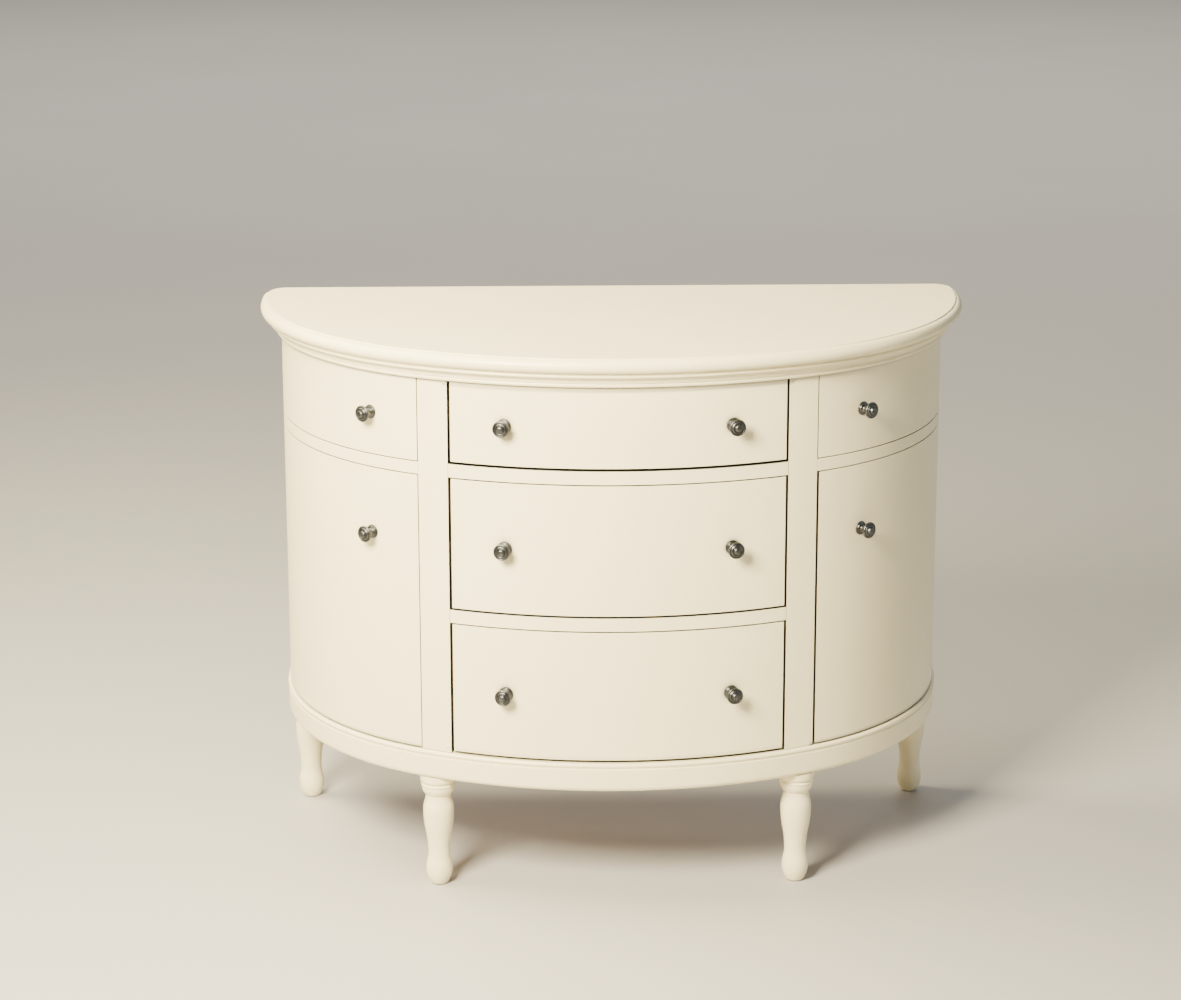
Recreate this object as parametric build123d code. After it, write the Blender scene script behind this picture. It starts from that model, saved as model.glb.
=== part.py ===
from build123d import *
from math import asin, cos, degrees, radians, sin, sqrt, tan
import os

# Half-moon sideboard in painted wood: three bow-fronted drawers between two stiles,
# a curved drawer over a curved door on each side, a crown moulding and four turned legs.
# Millimetres. The back stands at +Y, the bow faces -Y, Z is up, and the origin is on the
# floor under the middle of the overall box.

# Overall plan
carcass_width = 1120.0
carcass_depth = 525.0
top_overhang = 34.0
top_corner_radius = 34.0
side_run = 56.0
bow_half_angle = 26.8

# Heights, from the floor up
leg_height = 193.0
base_height = 48.5
bottom_opening = 222.0
middle_opening = 219.5
top_opening = 136.7
rail_height = 22.5
deck_thickness = 20.5

# Boards
stile_width = 48.0
frame_thickness = 20.0
panel_thickness = 18.0
back_thickness = 6.0
rail_width = 45.0
post_length = 74.0
shelf_thickness = 16.0
shelf_height = 232.0
shelf_setback = 12.0
shelf_gap = 1.0
cleat_width = 14.0

# Gaps
centre_gap = 3.0
side_gap = 1.2
height_gap = 1.3
drawer_foot_gap = 2.2
seat_gap = 0.3
fit_gap = 0.05
drawer_side_gap = 1.2
edge_round = 1.2

# Top board edge: a quirk, a bullnose of two radii and a step, which add up to its thickness
quirk_depth = 2.0
nose_radius = 11.0
nose_under_radius = 10.5
nose_step = 1.5

# Cornice below the top board: bead, cove and low bead, which add up to its height
bead_radius = 3.2
cove_radius = 7.2
fillet_width = 1.2
low_bead_radius = 4.0
low_bead_step = 1.3

# Base band
band_stand = 6.5
band_bead_radius = 4.0
band_quirk = 2.0
band_round = 9.0

# Drawers
side_thickness = 12.0
bottom_thickness = 6.0
groove_depth = 5.0
bottom_rise = 9.0
headroom = 10.0
back_space = 10.0
runner_width = 20.0
kicker_gap = 3.0
side_box_clear = 88.8
guide_width = 20.0
guide_height = 26.0

# Door pivots and catches
pin_radius = 4.0
pin_reach = 12.0
pin_hold = 14.0
bush_radius = 6.0
bush_length = 13.0
catch_width = 34.0
catch_depth = 14.0
catch_height = 14.0
catch_gap = 0.6
strike_thickness = 1.4
strike_height = 12.0
catch_inset = 22.0

# Knobs
knob_head_radius = 13.6
knob_length = 27.0
knob_flange_radius = 11.0
knob_stem_radius = 4.6
knob_spread = 361.5
knob_inset = 77.0
door_knob_drop = 109.0

# Turned legs
collar_radius = 30.0
ring_radius = 28.6
bell_radius = 27.2
neck_radius = 20.6
swell_radius = 25.6
ankle_radius = 17.6
bulb_radius = 21.4
sole_radius = 13.0
leg_inset = 28.0
bolt_radius = 4.0
bolt_hold = 28.0
block_length = 76.0

# Outlines, as shares of the sizes named beside them
knob_foot_shares = ((1.0, 0.07), (0.72, 0.13))
knob_stem_shares = (0.24, 0.50)
knob_head_shares = ((0.72, 0.58), (1.0, 0.68), (1.0, 0.77), (0.80, 0.87), (0.70, 0.86), (0.46, 0.95), (0.34, 1.0))
leg_curve_shares = (0.15, 0.36, 0.66, 0.815)
bell_share = 0.885
ring_height_shares = (0.892, 0.900, 0.914, 0.922)
collar_height_shares = (0.930, 0.945)

# Plan curve: a front bow and two side curves, tangent to each other, and short straight ends
half_width = carcass_width / 2
half_turn = tan(radians(bow_half_angle / 2))
side_radius = (carcass_depth - side_run - half_width * half_turn) / (1 - half_turn)
bow_radius = side_radius + (half_width - side_radius) / sin(radians(bow_half_angle))
rear_y = (carcass_depth + top_overhang) / 2
side_centre_x = half_width - side_radius
side_centre_y = rear_y - side_run
bow_centre_y = side_centre_y + (bow_radius - side_radius) * cos(radians(bow_half_angle))
joint_x = bow_radius * sin(radians(bow_half_angle))
side_box_width = half_width - joint_x - side_gap - side_box_clear
side_sweep = 90 - bow_half_angle
opening_half = joint_x - stile_width
inside_y = rear_y - back_thickness

# Levels
top_thickness = quirk_depth + nose_radius + nose_under_radius + nose_step
cornice_height = 2 * (fillet_width + bead_radius + low_bead_radius) + cove_radius + low_bead_step
base_top = leg_height + base_height
lower_rail_z = base_top + bottom_opening
middle_z = lower_rail_z + rail_height
upper_rail_z = middle_z + middle_opening
top_drawer_z = upper_rail_z + rail_height
cornice_z = top_drawer_z + top_opening
board_z = cornice_z + cornice_height
overall_height = board_z + top_thickness
deck_top = upper_rail_z + deck_thickness

# Door ends, as angles on the side curve measured back from the side's widest point
post_angle = degrees(asin((post_length - side_run) / side_radius))
pivot_radius = side_radius - frame_thickness / 2
pivot_angle = post_angle + degrees((frame_thickness / 2 + height_gap) / pivot_radius)
front_end_angle = post_angle + degrees(height_gap / side_radius)


def face_of(*lines):
    return Face(Wire([edge for line in lines for edge in line.edges()]))


def outline(offset):
    """The half-moon plan, grown outwards by offset."""
    reach = half_width + offset
    left_end = (-reach, rear_y)
    right_end = (reach, rear_y)
    left_arc = CenterArc((-side_centre_x, side_centre_y), side_radius + offset, 180, side_sweep)
    bow_arc = CenterArc((0, bow_centre_y), bow_radius + offset, 180 + side_sweep, 2 * bow_half_angle)
    right_arc = CenterArc((side_centre_x, side_centre_y), side_radius + offset, 360 - side_sweep, side_sweep)
    return face_of(
        Line(left_end, (-reach, side_centre_y)), left_arc, bow_arc, right_arc,
        Line((reach, side_centre_y), right_end), Line(right_end, left_end),
    )


def slab(offset, low, high):
    """A board of the half-moon plan between two heights."""
    return Pos(0, 0, low) * extrude(outline(offset), high - low, dir=(0, 0, 1))


def block(x_low, x_high, y_low, y_high, low, high):
    size = (x_high - x_low, y_high - y_low, high - low)
    middle = ((x_low + x_high) / 2, (y_low + y_high) / 2, (low + high) / 2)
    return Pos(*middle) * Box(*size)


def curved_board(inner, outer, low, high):
    """The shell between two offsets of the plan curve."""
    return slab(outer, low, high) - slab(inner, low, high)


def mirrored(piece, side):
    return piece if side > 0 else mirror(piece, Plane.YZ)


def moulding(profile):
    """Run a profile of (offset, height) right round the plan curve as one length."""
    runs = []
    arcs = (
        ((-side_centre_x, side_centre_y), side_radius, 180, side_sweep),
        ((0, bow_centre_y), bow_radius, 180 + side_sweep, 2 * bow_half_angle),
        ((side_centre_x, side_centre_y), side_radius, 360 - side_sweep, side_sweep),
    )
    for centre, radius, start, sweep in arcs:
        radial = Vector(cos(radians(start)), sin(radians(start)), 0)
        plane = Plane(origin=(*centre, 0), x_dir=radial, z_dir=radial.cross(Vector(0, 0, 1)))
        runs.append(revolve(plane * profile(radius), Axis((*centre, 0), (0, 0, 1)), sweep))
    for side in (-1, 1):
        plane = Plane(origin=(0, rear_y, 0), x_dir=(side, 0, 0), z_dir=(0, -side, 0))
        runs.append(extrude(plane * profile(half_width), side_run, dir=(0, -1, 0)))
    whole = runs[0]
    for run in runs[1:]:
        whole = whole + run
    return whole


def side_point(radius, angle):
    """A point on the right side curve, angle degrees forward of its widest point."""
    turn = radians(angle)
    return side_centre_x + radius * cos(turn), side_centre_y - radius * sin(turn)


def side_wedge(first, last, low, high):
    """A tall wedge about the right side curve's centre, between two such angles."""
    reach = 2 * side_radius
    hub = (side_centre_x, side_centre_y)
    points = [hub]
    steps = 4
    for step in range(steps + 1):
        points.append(side_point(reach, first + (last - first) * step / steps))
    wedge = Face(Wire.make_polygon(points, close=True))
    return Pos(0, 0, low) * extrude(wedge, high - low, dir=(0, 0, 1))


def inward_at(x):
    """How far back the front curve stands at a given x within the bow."""
    return bow_centre_y - sqrt(bow_radius ** 2 - x ** 2)


# Top board and mouldings
def rear_corner(side):
    """What a rounded rear corner takes off the top board."""
    corner_x = half_width + top_overhang
    near_x = corner_x - top_corner_radius
    near_y = rear_y - top_corner_radius
    middle_z = (board_z + overall_height) / 2
    square = block(near_x, corner_x, near_y, rear_y, board_z, overall_height)
    return mirrored(square - Pos(near_x, near_y, middle_z) * Cylinder(top_corner_radius, top_thickness), side)


def top_board():
    flat = top_overhang - nose_radius
    widest_z = overall_height - quirk_depth - nose_radius
    under = top_overhang - nose_under_radius

    def profile(radius):
        nose_top = (radius + flat, overall_height - quirk_depth)
        lip = (radius + flat, overall_height)
        back_high = (radius, overall_height)
        back_low = (radius, board_z)
        foot = (radius + under, board_z)
        return face_of(
            Polyline(foot, back_low, back_high, lip, nose_top),
            CenterArc((radius + flat, widest_z), nose_radius, 90, -90),
            CenterArc((radius + under, widest_z), nose_under_radius, 0, -90),
            Line((radius + under, widest_z - nose_under_radius), foot),
        )

    board = moulding(profile) + slab(0, board_z, overall_height)
    return board - [rear_corner(side) for side in (-1, 1)]


def cornice():
    """Bead, cove and low bead between square fillets, each member stepping inwards."""
    top_stand = top_overhang - nose_under_radius - fillet_width
    cove_top = top_stand - bead_radius - fillet_width
    cove_foot = cove_top - cove_radius
    low_stand = cove_foot - fillet_width
    bead_z = board_z - fillet_width
    cove_z = bead_z - 2 * bead_radius - fillet_width
    low_z = cornice_z + 2 * low_bead_radius

    def profile(radius):
        inner = radius - frame_thickness
        bead = radius + top_stand - bead_radius
        cove = radius + cove_top
        foot = radius + cove_foot
        low = radius + low_stand - low_bead_radius
        points = [
            (inner, cornice_z), (inner, board_z), (radius + top_stand, board_z),
            (radius + top_stand, bead_z), (bead, bead_z),
        ]
        edges = [Line(a, b) for a, b in zip(points, points[1:])]
        bead_foot = (bead, bead_z - 2 * bead_radius)
        edges.append(CenterArc((bead, bead_z - bead_radius), bead_radius, 90, -180))
        edges.append(Polyline(bead_foot, (cove, bead_foot[1]), (cove, cove_z)))
        edges.append(CenterArc((cove, cove_z - cove_radius), cove_radius, 90, 90))
        edges.append(Polyline((foot, cove_z - cove_radius), (foot, low_z), (low, low_z)))
        edges.append(CenterArc((low, low_z - low_bead_radius), low_bead_radius, 90, -180))
        edges.append(Line((low, cornice_z), (inner, cornice_z)))
        return face_of(*edges)

    return moulding(profile)


def base_band():
    """The plinth: a bead and quirk at the top, a plain face and a soft lower edge."""
    bead_z = base_top - band_bead_radius
    quirk_z = base_top - 2 * band_bead_radius - band_quirk

    def profile(radius):
        inner = radius - frame_thickness
        bead = radius + band_stand - band_bead_radius / 2
        face = radius + band_stand
        edges = [
            Line((inner, leg_height), (inner, base_top)), Line((inner, base_top), (bead, base_top)),
            CenterArc((bead, bead_z), band_bead_radius, 90, -180),
            Polyline(
                (bead, bead_z - band_bead_radius), (bead, quirk_z), (face, quirk_z),
                (face, leg_height + band_round),
            ),
            CenterArc((face - band_round, leg_height + band_round), band_round, 0, -90),
            Line((face - band_round, leg_height), (inner, leg_height)),
        ]
        return face_of(*edges)

    band = moulding(profile)
    for side in (-1, 1):
        band = band - pivot_hole(side, base_top - pin_hold, base_top)
    return band


# Carcass
def pivot_hole(side, low, high, radius=pin_radius + fit_gap / 2):
    x, y = side_point(pivot_radius, pivot_angle)
    hole = Pos(x, y, (low + high) / 2) * Cylinder(radius, high - low)
    return mirrored(hole, side)


def base_panel():
    panel = slab(-frame_thickness, base_top - panel_thickness, base_top)
    return panel - block(-half_width, half_width, inside_y, rear_y, leg_height, overall_height)


def subtop_panel():
    panel = slab(-frame_thickness, board_z - panel_thickness, board_z)
    return panel - block(-half_width, half_width, inside_y, rear_y, leg_height, overall_height)


def back_panel():
    reach = half_width - frame_thickness
    return block(-reach, reach, inside_y, rear_y, leg_height, board_z)


def stile(side):
    shell = curved_board(-frame_thickness, 0, base_top, cornice_z)
    strip = block(opening_half, joint_x, -rear_y, side_centre_y, base_top, cornice_z)
    return mirrored(shell & strip, side)


def rear_post(side):
    shell = curved_board(-frame_thickness, 0, base_top, cornice_z)
    wedge = side_wedge(-90, post_angle, base_top, cornice_z)
    strip = block(side_centre_x, 2 * half_width, -rear_y, rear_y, base_top, cornice_z)
    return mirrored(shell & wedge & strip, side)


def partition(side):
    """A wall between centre and side compartments, cut to seat on the back of its stile."""
    high = board_z - panel_thickness
    strip = block(opening_half, opening_half + panel_thickness, -rear_y, inside_y, base_top, high)
    return mirrored(slab(-frame_thickness, base_top, high) & strip, side)


def front_rail(low):
    """A rail between centre drawers, bowed in front and straight behind."""
    back = inward_at(opening_half) + rail_width
    strip = block(-opening_half, opening_half, -rear_y, back, low, low + rail_height)
    return slab(0, low, low + rail_height) & strip


def drawer_runners():
    """Battens at rail height that carry the drawer sides, and two kickers above the top drawer."""
    pieces = []
    start = inward_at(opening_half) + rail_width
    subtop_z = board_z - panel_thickness
    kicker_z = cornice_z - headroom + kicker_gap
    rows = ((lower_rail_z, middle_z), (upper_rail_z, top_drawer_z), (kicker_z, subtop_z))
    for low, high in rows:
        batten = block(opening_half - runner_width, opening_half, start, inside_y, low, high)
        pieces.extend([batten, mirrored(batten, -1)])
    return pieces


def side_deck(side):
    """Cupboard ceiling: its front edge shows as the rail between side drawer and door."""
    inner_x = opening_half + panel_thickness
    strip = block(inner_x, 2 * half_width, -rear_y, inside_y, upper_rail_z, deck_top)
    deck = slab(0, upper_rail_z, deck_top) & strip
    deck = deck - stile(1) - rear_post(1)
    deck = deck - pivot_hole(1, upper_rail_z, upper_rail_z + pin_hold)
    return mirrored(deck, side)


def shelf(side):
    low = base_top + shelf_height
    inner_x = opening_half + panel_thickness + shelf_gap
    strip = block(inner_x, 2 * half_width, -rear_y, inside_y - shelf_gap, low, low + shelf_thickness)
    board = slab(-frame_thickness - shelf_setback, low, low + shelf_thickness) & strip
    return mirrored(board, side)


def shelf_cleats():
    """Battens under each shelf, along the partition and along the back."""
    high = base_top + shelf_height
    low = high - cleat_width
    wall_x = opening_half + panel_thickness
    post_x = half_width - frame_thickness - shelf_setback
    front = inward_at(joint_x) + frame_thickness + shelf_setback + rail_width
    along_wall = block(wall_x, wall_x + cleat_width, front, inside_y, low, high)
    along_back = block(wall_x + cleat_width, post_x, inside_y - cleat_width, inside_y, low, high)
    pieces = []
    for side in (-1, 1):
        pieces.extend([mirrored(along_wall, side), mirrored(along_back, side)])
    return pieces


# Drawer boxes
def drawer_bottom_z(low):
    return low + seat_gap + bottom_rise


def box_boards(x_low, x_high, low, high):
    """Two grooved sides, cut to the curve of the front, and a back that stands on the bottom."""
    side_low = low + seat_gap
    side_high = high - headroom
    back_y = inside_y - back_space
    groove_z = drawer_bottom_z(low)
    body = slab(-frame_thickness, side_low, side_high)
    boards = []
    left_groove = x_low + side_thickness - groove_depth
    right_side = x_high - side_thickness
    for start, groove_x in ((x_low, left_groove), (right_side, right_side)):
        strip = block(start, start + side_thickness, -rear_y, back_y, side_low, side_high)
        groove = block(
            groove_x, groove_x + groove_depth, -rear_y, back_y,
            groove_z - fit_gap, groove_z + bottom_thickness + fit_gap,
        )
        boards.append((body & strip) - groove)
    boards.append(block(
        x_low + side_thickness, x_high - side_thickness, back_y - side_thickness, back_y,
        groove_z + bottom_thickness, side_high,
    ))
    return boards


def box_bottom(x_low, x_high, low):
    groove_z = drawer_bottom_z(low)
    inset = side_thickness - groove_depth + fit_gap
    strip = block(
        x_low + inset, x_high - inset, -rear_y, inside_y - back_space,
        groove_z, groove_z + bottom_thickness,
    )
    return slab(-frame_thickness, groove_z, groove_z + bottom_thickness) & strip


def outer_edges(board):
    """The edges round a curved front's outer face, the rearmost last."""
    outer = board.faces().filter_by(GeomType.CYLINDER).sort_by(lambda face: face.area)[-1]
    return outer.edges().sort_by(Axis.Y)


def eased(board):
    return fillet(outer_edges(board), edge_round)


def centre_front(low, high):
    reach = opening_half - centre_gap
    shell = curved_board(-frame_thickness, 0, low + drawer_foot_gap, high - height_gap)
    strip = block(-reach, reach, -rear_y, side_centre_y, low, high)
    return eased(shell & strip)


def side_front():
    low = deck_top + height_gap
    high = cornice_z - height_gap
    shell = curved_board(-frame_thickness, 0, low, high)
    wedge = side_wedge(front_end_angle, 90, low, high)
    strip = block(joint_x + side_gap, 2 * half_width, -rear_y, rear_y, low, high)
    return eased(shell & wedge & strip)


def side_guides():
    """Battens beside each side drawer's box, and a kicker over it."""
    box_low, box_high = side_box_span()
    wall_x = opening_half + panel_thickness
    near_x = box_low - drawer_side_gap
    far_x = box_high + drawer_side_gap
    near_front = inward_at(joint_x) + frame_thickness + shelf_setback
    reach = side_radius - frame_thickness - shelf_setback
    far_front = side_centre_y - sqrt(reach ** 2 - (far_x + guide_width - side_centre_x) ** 2)
    high = deck_top + guide_height
    kicker_x = (box_low + box_high - guide_width) / 2
    kicker_z = cornice_z - headroom + kicker_gap
    subtop_z = board_z - panel_thickness
    battens = (
        block(wall_x, near_x, near_front, inside_y, deck_top, high),
        block(far_x, far_x + guide_width, far_front, inside_y, deck_top, high),
        block(kicker_x, kicker_x + guide_width, far_front, inside_y, kicker_z, subtop_z),
    )
    return [mirrored(batten, side) for side in (-1, 1) for batten in battens]


def side_box_span():
    start = joint_x + side_gap
    return start, start + side_box_width


# Doors
def door_blank():
    low = base_top + height_gap
    high = upper_rail_z - height_gap
    shell = curved_board(-frame_thickness, 0, low, high)
    wedge = side_wedge(pivot_angle, 90, low, high)
    strip = block(joint_x + side_gap, 2 * half_width, -rear_y, rear_y, low, high)
    return shell & wedge & strip


def door(side):
    """A curved door whose rounded hinge edge turns about its top and bottom pivots."""
    low = base_top + height_gap
    high = upper_rail_z - height_gap
    x, y = side_point(pivot_radius, pivot_angle)
    edge = Pos(x, y, (low + high) / 2) * Cylinder(frame_thickness / 2, high - low)
    panel = door_blank() + edge
    panel = fillet(outer_edges(panel)[:-1], edge_round)
    bush_bore = bush_radius + fit_gap
    for start, end in ((low, low + bush_length), (high - bush_length, high)):
        panel = panel - pivot_hole(1, start, end, bush_bore)
    return mirrored(panel, side)


def door_bushes(side):
    low = base_top + height_gap
    high = upper_rail_z - height_gap
    pieces = []
    for start, end in ((low, low + bush_length), (high - bush_length, high)):
        sleeve = pivot_hole(1, start, end, bush_radius) - pivot_hole(1, start, end, pin_radius + fit_gap)
        pieces.append(mirrored(sleeve, side))
    return pieces


def pivot_pins():
    low_pin = (base_top - pin_hold, base_top + height_gap + pin_reach)
    high_pin = (upper_rail_z - height_gap - pin_reach, upper_rail_z + pin_hold)
    return [pivot_hole(side, *span, pin_radius) for side in (-1, 1) for span in (low_pin, high_pin)]


def latch_wedge(spread, low, high):
    """A wedge about the side centre, just behind the door's free edge."""
    free_angle = 90 - degrees(asin((joint_x - side_centre_x + side_gap) / side_radius))
    first = free_angle - degrees((catch_inset + spread) / side_radius)
    return side_wedge(first, free_angle - degrees(catch_inset / side_radius), low, high)


def door_strike(side):
    high = upper_rail_z - height_gap
    low = high - strike_height
    back = -frame_thickness - strike_thickness
    plate = curved_board(back, -frame_thickness - fit_gap, low, high)
    return mirrored(plate & latch_wedge(catch_width, low, high), side)


def door_catches():
    """A magnetic catch under each deck, just behind the strike plate on the door."""
    near = -frame_thickness - strike_thickness - catch_gap
    low = upper_rail_z - catch_height
    body = curved_board(near - catch_depth, near, low, upper_rail_z)
    body = body & latch_wedge(catch_width, low, upper_rail_z)
    return [mirrored(body, side) for side in (-1, 1)]


# Knobs
def knob():
    """A turned mushroom knob along +Z: flange, waisted stem, ringed head and centre button."""
    head = knob_head_radius
    length = knob_length
    points = [(0, 0), (knob_flange_radius, 0)]
    for radius_share, height_share in knob_foot_shares:
        points.append((knob_flange_radius * radius_share, length * height_share))
    for height_share in knob_stem_shares:
        points.append((knob_stem_radius, length * height_share))
    for radius_share, height_share in knob_head_shares:
        points.append((head * radius_share, length * height_share))
    points.append((0, length))
    section = Plane.XZ * Face(Wire.make_polygon(points, close=True))
    return revolve(section, Axis.Z)


def knob_on(centre, radius, angle, z):
    """Seat a knob on a curved front: angle is measured from straight ahead, towards +X."""
    turn = radians(angle)
    x = centre[0] + radius * sin(turn)
    y = centre[1] - radius * cos(turn)
    return Pos(x, y, z) * Rot(0, 0, angle) * Rot(90, 0, 0) * knob()


def centre_knobs(z):
    """Two knobs, spaced alike on each centre drawer."""
    angle = degrees(asin(knob_spread / 2 / bow_radius))
    return [knob_on((0, bow_centre_y), bow_radius, turn, z) for turn in (-angle, angle)]


def side_knob(side, z):
    """A knob on the right curve near its front end, over the middle of the drawer box."""
    x = joint_x + knob_inset - side_centre_x
    angle = degrees(asin(x / side_radius))
    return mirrored(knob_on((side_centre_x, side_centre_y), side_radius, angle, z), side)


# Legs
def leg_places():
    """Front legs stand under the stiles, rear legs at the ends of the plan."""
    radius = bow_radius - leg_inset
    front_x = (opening_half + joint_x) / 2
    front_y = bow_centre_y - sqrt(radius ** 2 - front_x ** 2)
    rear_x = half_width - leg_inset - fit_gap
    back_y = rear_y - collar_radius - fit_gap
    return {
        "front_left": (-front_x, front_y), "front_right": (front_x, front_y),
        "rear_left": (-rear_x, back_y), "rear_right": (rear_x, back_y),
    }


def s_curve(start, end):
    """Two equal arcs between (radius, height) points, upright at both ends."""
    middle = ((start[0] + end[0]) / 2, (start[1] + end[1]) / 2)
    return [
        TangentArc(start, middle, tangent=(0, 1)),
        TangentArc(end, middle, tangent=(0, -1)),
    ]


def leg(place):
    """A turned leg: bulb foot, ankle, long swelling, neck, bell, ring and collar."""
    curve_radii = (bulb_radius, ankle_radius, swell_radius, neck_radius)
    curve = [(radius, leg_height * share) for radius, share in zip(curve_radii, leg_curve_shares)]
    bell = (bell_radius, leg_height * bell_share)
    ring_foot, ring_low, ring_high, ring_head = (leg_height * share for share in ring_height_shares)
    collar_low, collar_high = (leg_height * share for share in collar_height_shares)
    lines = [TangentArc(curve[0], (sole_radius, 0), tangent=(0, -1))]
    for start, end in zip(curve, curve[1:]):
        lines.extend(s_curve(start, end))
    lines.append(TangentArc(bell, curve[-1], tangent=(0, -1)))
    lines.append(Polyline(
        bell, (bell_radius, ring_foot), (ring_radius, ring_low), (ring_radius, ring_high),
        (bell_radius, ring_head), (bell_radius, collar_low), (collar_radius, collar_high),
        (collar_radius, leg_height), (0, leg_height), (0, 0), (sole_radius, 0),
    ))
    turned = revolve(Plane.XZ * face_of(*lines), Axis.Z)
    hole = bolt_at((0, 0), bolt_radius + fit_gap)
    return Pos(*place, 0) * (turned - hole)


def bolt_at(place, radius):
    low = leg_height - bolt_hold
    high = base_top - panel_thickness
    return Pos(*place, (low + high) / 2) * Cylinder(radius, high - low)


def leg_blocks():
    """Blocks behind the base band that take the leg bolts, under the base panel."""
    high = base_top - panel_thickness
    pieces = []
    for x, y in leg_places().values():
        reach = block_length / 2
        body = block(x - reach, x + reach, y - reach, min(y + reach, inside_y), leg_height, high)
        body = body & slab(-frame_thickness, leg_height, high)
        pieces.append(body - bolt_at((x, y), bolt_radius + fit_gap))
    return pieces


def leg_bolts():
    return [bolt_at(place, bolt_radius) for place in leg_places().values()]


def centre_drawer(name, low, high):
    reach = opening_half - drawer_side_gap
    return {
        name + "_drawer_front": centre_front(low, high),
        name + "_drawer_box": box_boards(-reach, reach, low, high),
        name + "_drawer_bottom": box_bottom(-reach, reach, low),
        name + "_drawer_knobs": centre_knobs((low + high) / 2),
    }


def side_drawer(name, side):
    box_low, box_high = side_box_span()
    boards = box_boards(box_low, box_high, deck_top, cornice_z)
    return {
        name + "_drawer_front": mirrored(side_front(), side),
        name + "_drawer_box": [mirrored(board, side) for board in boards],
        name + "_drawer_bottom": mirrored(box_bottom(box_low, box_high, deck_top), side),
        name + "_drawer_knob": side_knob(side, (top_drawer_z + cornice_z) / 2),
    }


def side_door(name, side):
    return {
        name + "_door": door(side),
        name + "_door_knob": side_knob(side, upper_rail_z - door_knob_drop),
        name + "_door_bushes": door_bushes(side),
        name + "_door_strike": door_strike(side),
    }


def cabinet():
    nodes = {
        "top_board": top_board(), "cornice": cornice(), "subtop_panel": subtop_panel(),
        "base_band": base_band(), "base_panel": base_panel(), "back_panel": back_panel(),
        "lower_rail": front_rail(lower_rail_z), "upper_rail": front_rail(upper_rail_z),
        "drawer_runners": drawer_runners(), "side_drawer_guides": side_guides(),
        "shelf_cleats": shelf_cleats(), "door_pivot_pins": pivot_pins(),
        "door_catches": door_catches(), "leg_blocks": leg_blocks(), "leg_bolts": leg_bolts(),
    }
    for name, side in (("left", -1), ("right", 1)):
        nodes[name + "_stile"] = stile(side)
        nodes[name + "_rear_post"] = rear_post(side)
        nodes[name + "_partition"] = partition(side)
        nodes[name + "_deck"] = side_deck(side)
        nodes[name + "_shelf"] = shelf(side)
    for name, place in leg_places().items():
        nodes[name + "_leg"] = leg(place)
    return nodes


def write(name, pieces):
    solids = []
    for piece in pieces if isinstance(pieces, list) else [pieces]:
        solids.extend(piece.solids())
    shape = solids[0] if len(solids) == 1 else Compound(children=solids)
    export_step(shape, os.path.join("parts", name + ".step"))


os.makedirs("parts", exist_ok=True)
nodes = cabinet()
nodes.update(centre_drawer("top", top_drawer_z, cornice_z))
nodes.update(centre_drawer("middle", middle_z, upper_rail_z))
nodes.update(centre_drawer("bottom", base_top, lower_rail_z))
for name, side in (("left", -1), ("right", 1)):
    nodes.update(side_drawer(name, side))
    nodes.update(side_door(name, side))
for name, pieces in nodes.items():
    write(name, pieces)
print(len(nodes), "nodes")
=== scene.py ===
from math import acos, asin, atan2, copysign, cos, degrees, pi, radians, sin, sqrt, tan

import bmesh
import bpy
from mathutils import Matrix, Vector


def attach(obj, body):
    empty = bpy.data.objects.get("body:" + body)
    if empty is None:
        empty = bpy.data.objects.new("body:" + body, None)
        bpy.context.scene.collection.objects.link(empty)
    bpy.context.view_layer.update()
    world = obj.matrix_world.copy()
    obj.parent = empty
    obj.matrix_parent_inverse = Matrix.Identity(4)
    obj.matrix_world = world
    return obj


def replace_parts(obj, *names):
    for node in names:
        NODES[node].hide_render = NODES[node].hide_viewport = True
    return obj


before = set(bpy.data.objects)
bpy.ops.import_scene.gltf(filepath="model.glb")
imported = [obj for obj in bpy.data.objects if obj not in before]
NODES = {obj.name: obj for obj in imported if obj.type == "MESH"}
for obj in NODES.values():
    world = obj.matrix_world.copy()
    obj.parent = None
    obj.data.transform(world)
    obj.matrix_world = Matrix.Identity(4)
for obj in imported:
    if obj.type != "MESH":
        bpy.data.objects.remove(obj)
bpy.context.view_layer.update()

MM = 0.001

# Plan of the half-moon, in millimetres: two side curves, a front bow, short straight ends
HALF = 560.0
DEPTH = 525.0
OVERHANG = 34.0
RUN = 56.0
BOW_TURN = radians(26.8)
HALF_TURN = tan(BOW_TURN / 2)
SIDE_R = (DEPTH - RUN - HALF * HALF_TURN) / (1 - HALF_TURN)
BOW_R = SIDE_R + (HALF - SIDE_R) / sin(BOW_TURN)
REAR_Y = (DEPTH + OVERHANG) / 2
SIDE_X = HALF - SIDE_R
SIDE_Y = REAR_Y - RUN
BOW_Y = SIDE_Y + (BOW_R - SIDE_R) * cos(BOW_TURN)
JOINT_X = BOW_R * sin(BOW_TURN)
STILE = 48.0
OPEN_X = JOINT_X - STILE
THICK = 20.0

# Heights
LEG_H = 193.0
BASE_TOP = 241.5
LOWER_RAIL = 463.5
MIDDLE = 486.0
UPPER_RAIL = 705.5
DECK_TOP = 726.0
TOP_DRAWER = 728.0
CORNICE = 864.7
BOARD = 890.0
TOP = 915.0
RAIL_H = MIDDLE - LOWER_RAIL

# Gaps round the fronts, as wide as the photograph shows them
LEFT_CENTRE_GAP = 4.0
RIGHT_CENTRE_GAP = 3.4
SIDE_GAP = 1.2
RIGHT_DOOR_GAP = 3.2
SEAM = 1.3
FOOT_GAPS = {"top": 3.8, "middle": 2.8, "bottom": 4.6}
DOOR_FOOT_GAPS = {"left": 2.8, "right": 2.6}

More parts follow.
